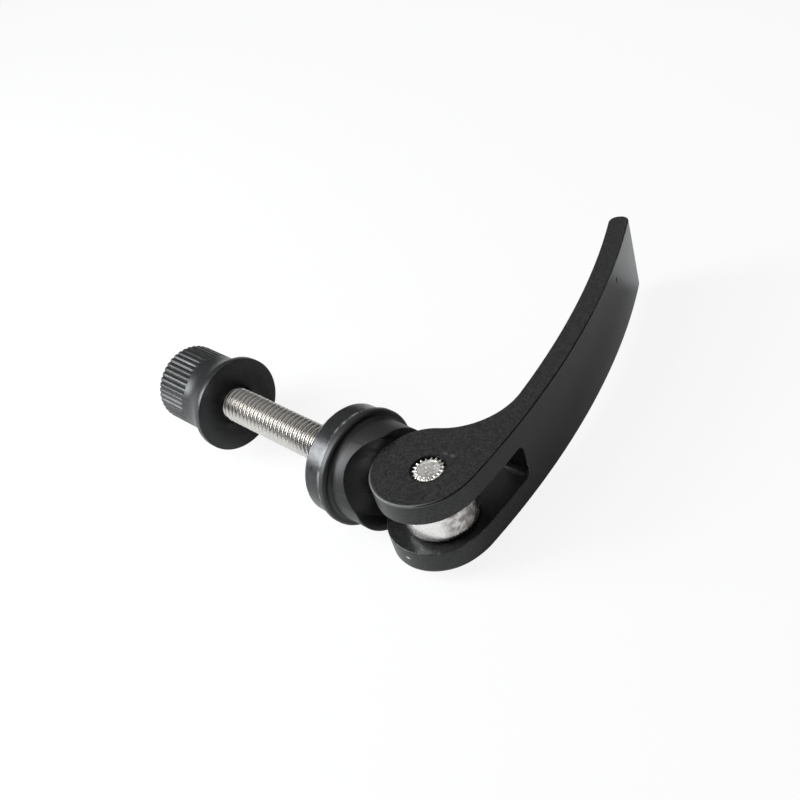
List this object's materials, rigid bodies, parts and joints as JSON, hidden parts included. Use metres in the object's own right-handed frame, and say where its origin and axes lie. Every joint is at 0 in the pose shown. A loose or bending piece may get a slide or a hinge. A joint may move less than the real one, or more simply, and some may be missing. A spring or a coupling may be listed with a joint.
{
  "type": "quick release seatpost clamp bolt",
  "caption": "Cam lever, eye bolt, cup washer with saddle, and knurled flange nut that squeeze a bicycle frame's seatpost clamp shut.",
  "frame": {"origin": "on the bolt's axis, at the middle of the cup washer's clamping face", "axes": "+X along the bolt towards the lever's pin, +Y towards the tip of the closed handle, +Z along the pin and up as the object lies"},
  "size_m": [0.0683, 0.0721, 0.0188],
  "materials": {
    "bolt_steel": "bright zinc plated, rolled thread",
    "pin_steel": "bright steel, riveted and splined ends",
    "black_alloy": "black anodised, satin sides and glossy back",
    "black_plated_steel": "glossy black plating",
    "black_plastic": "moulded matt black",
    "nut_steel": "glossy black plating with a straight knurl"
  },
  "bodies": {
    "bolt": {"eye_bolt": "bolt_steel"},
    "lever": {"lever": "black_alloy", "pivot_pin": "pin_steel"},
    "cup": {"cup_washer": "black_plated_steel"},
    "saddle": {"saddle": "black_plastic"},
    "nut": {"nut": "nut_steel"}
  },
  "joints": [
    {"name": "lever_pivot", "type": "hinge", "parent": "bolt", "child": "lever", "pos_m": [0.01975, 0, 0], "axis": [0, 0, -1], "range_deg": [0, 180]},
    {"name": "cup_slide", "type": "slide", "parent": "bolt", "child": "cup", "axis": [1, 0, 0], "range_m": [0, 0.002]},
    {"name": "saddle_turn", "type": "hinge", "parent": "cup", "child": "saddle", "pos_m": [0, 0, 0], "axis": [1, 0, 0], "continuous": true},
    {"name": "nut_travel", "type": "slide", "parent": "bolt", "child": "nut", "axis": [1, 0, 0], "range_m": [-0.006, 0.0274]}
  ],
  "couplings": [
    {"joint": "cup_slide", "follows": "lever_pivot", "m_per_rad": 0.0006366}
  ]
}
